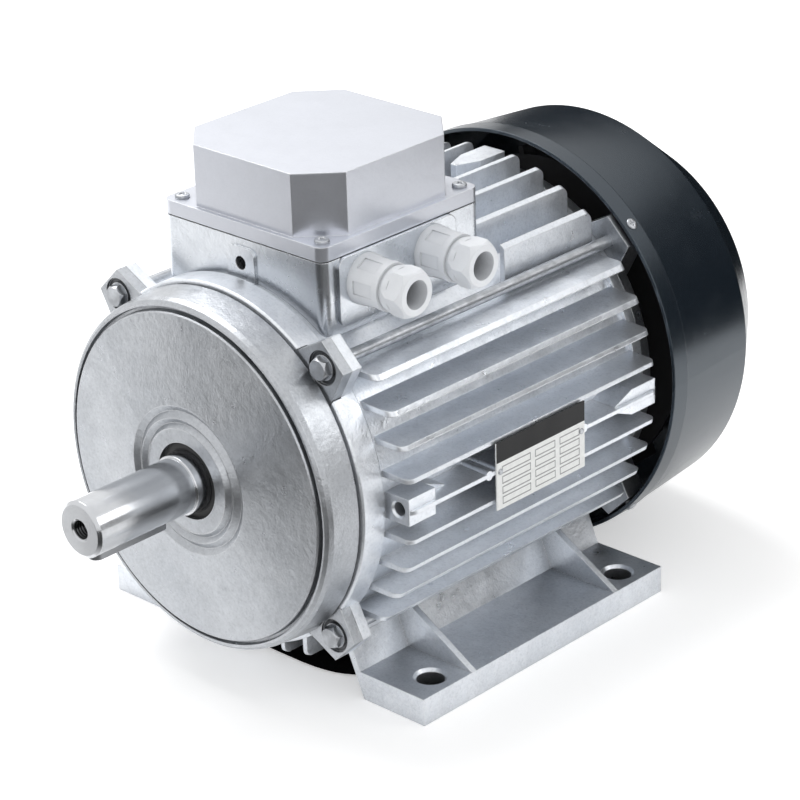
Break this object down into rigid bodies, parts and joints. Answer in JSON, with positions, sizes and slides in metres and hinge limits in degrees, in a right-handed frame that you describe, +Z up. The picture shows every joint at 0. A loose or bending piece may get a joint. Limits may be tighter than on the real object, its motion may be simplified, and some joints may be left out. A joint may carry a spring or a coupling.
{
  "type": "electric motor",
  "caption": "Foot-mounted finned three-phase induction motor with keyed shaft, top terminal box, cable glands and a rear fan cowl.",
  "frame": {"origin": "centre of the foot bolt pattern, on the plane that the feet stand on", "axes": "+Z up, shaft end towards -Y, cable glands towards +X"},
  "size_m": [0.2206, 0.3928, 0.26],
  "materials": {
    "cast_aluminium": "fine cast grain, satin",
    "lid_aluminium": "smooth satin",
    "zinc_steel": "zinc plated",
    "electrical_steel": "laminated, dull",
    "winding": "varnished copper",
    "bearing_steel": "ground",
    "spring_steel": "dark",
    "shaft_steel": "turned and ground",
    "key_steel": "bright drawn",
    "seal_rubber": "matt black",
    "fan_plastic": "matt black",
    "black_paint": "semi-gloss black",
    "gland_plastic": "satin off-white",
    "board_plastic": "moulded brown",
    "brass": "plain",
    "plate_metal": "brushed, bare"
  },
  "bodies": {
    "motor_body": {"frame": "cast_aluminium", "drive_end_shield": "cast_aluminium", "fan_end_shield": "cast_aluminium", "tie_bolts": "zinc_steel", "tie_bolt_washers": "zinc_steel", "stator_core": "electrical_steel", "winding_drive_end": "winding", "winding_fan_end": "winding", "bearing_outer_ring_drive_end": "bearing_steel", "bearing_outer_ring_fan_end": "bearing_steel", "wave_washer": "spring_steel", "shaft_seal_drive_end": "seal_rubber", "shaft_seal_fan_end": "seal_rubber", "fan_cowl": "black_paint", "cowl_screws": "zinc_steel", "foot_right": "cast_aluminium", "foot_left": "cast_aluminium", "foot_screws": "zinc_steel", "terminal_box": "cast_aluminium", "lid_gasket": "seal_rubber", "terminal_box_lid": "lid_aluminium", "lid_screws": "zinc_steel", "terminal_board": "board_plastic", "terminal_studs": "brass", "terminal_links": "brass", "terminal_nuts": "brass", "gland_body_front": "gland_plastic", "gland_body_rear": "gland_plastic", "gland_cap_front": "gland_plastic", "gland_cap_rear": "gland_plastic", "gland_locknuts": "gland_plastic", "nameplate": "plate_metal", "nameplate_rivets": "zinc_steel"},
    "rotor": {"shaft": "shaft_steel", "shaft_key": "key_steel", "rotor_core": "electrical_steel", "rotor_cage": "cast_aluminium", "bearing_inner_ring_drive_end": "bearing_steel", "bearing_inner_ring_fan_end": "bearing_steel", "fan": "fan_plastic", "fan_key": "key_steel", "fan_circlip": "spring_steel"},
    "ball_set_drive_end_body": {"ball_set_drive_end": "bearing_steel"},
    "ball_set_fan_end_body": {"ball_set_fan_end": "bearing_steel"}
  },
  "joints": [
    {"name": "rotor_spin", "type": "hinge", "parent": "motor_body", "child": "rotor", "pos_m": [0, 0, 0.112], "axis": [0, 1, 0], "continuous": true},
    {"name": "ball_set_drive_end_spin", "type": "hinge", "parent": "motor_body", "child": "ball_set_drive_end_body", "pos_m": [0, -0.116, 0.112], "axis": [0, 1, 0], "continuous": true},
    {"name": "ball_set_fan_end_spin", "type": "hinge", "parent": "motor_body", "child": "ball_set_fan_end_body", "pos_m": [0, 0.103, 0.112], "axis": [0, 1, 0], "continuous": true}
  ],
  "couplings": [
    {"joint": "ball_set_drive_end_spin", "follows": "rotor_spin", "ratio": 0.3965},
    {"joint": "ball_set_fan_end_spin", "follows": "rotor_spin", "ratio": 0.3965}
  ]
}
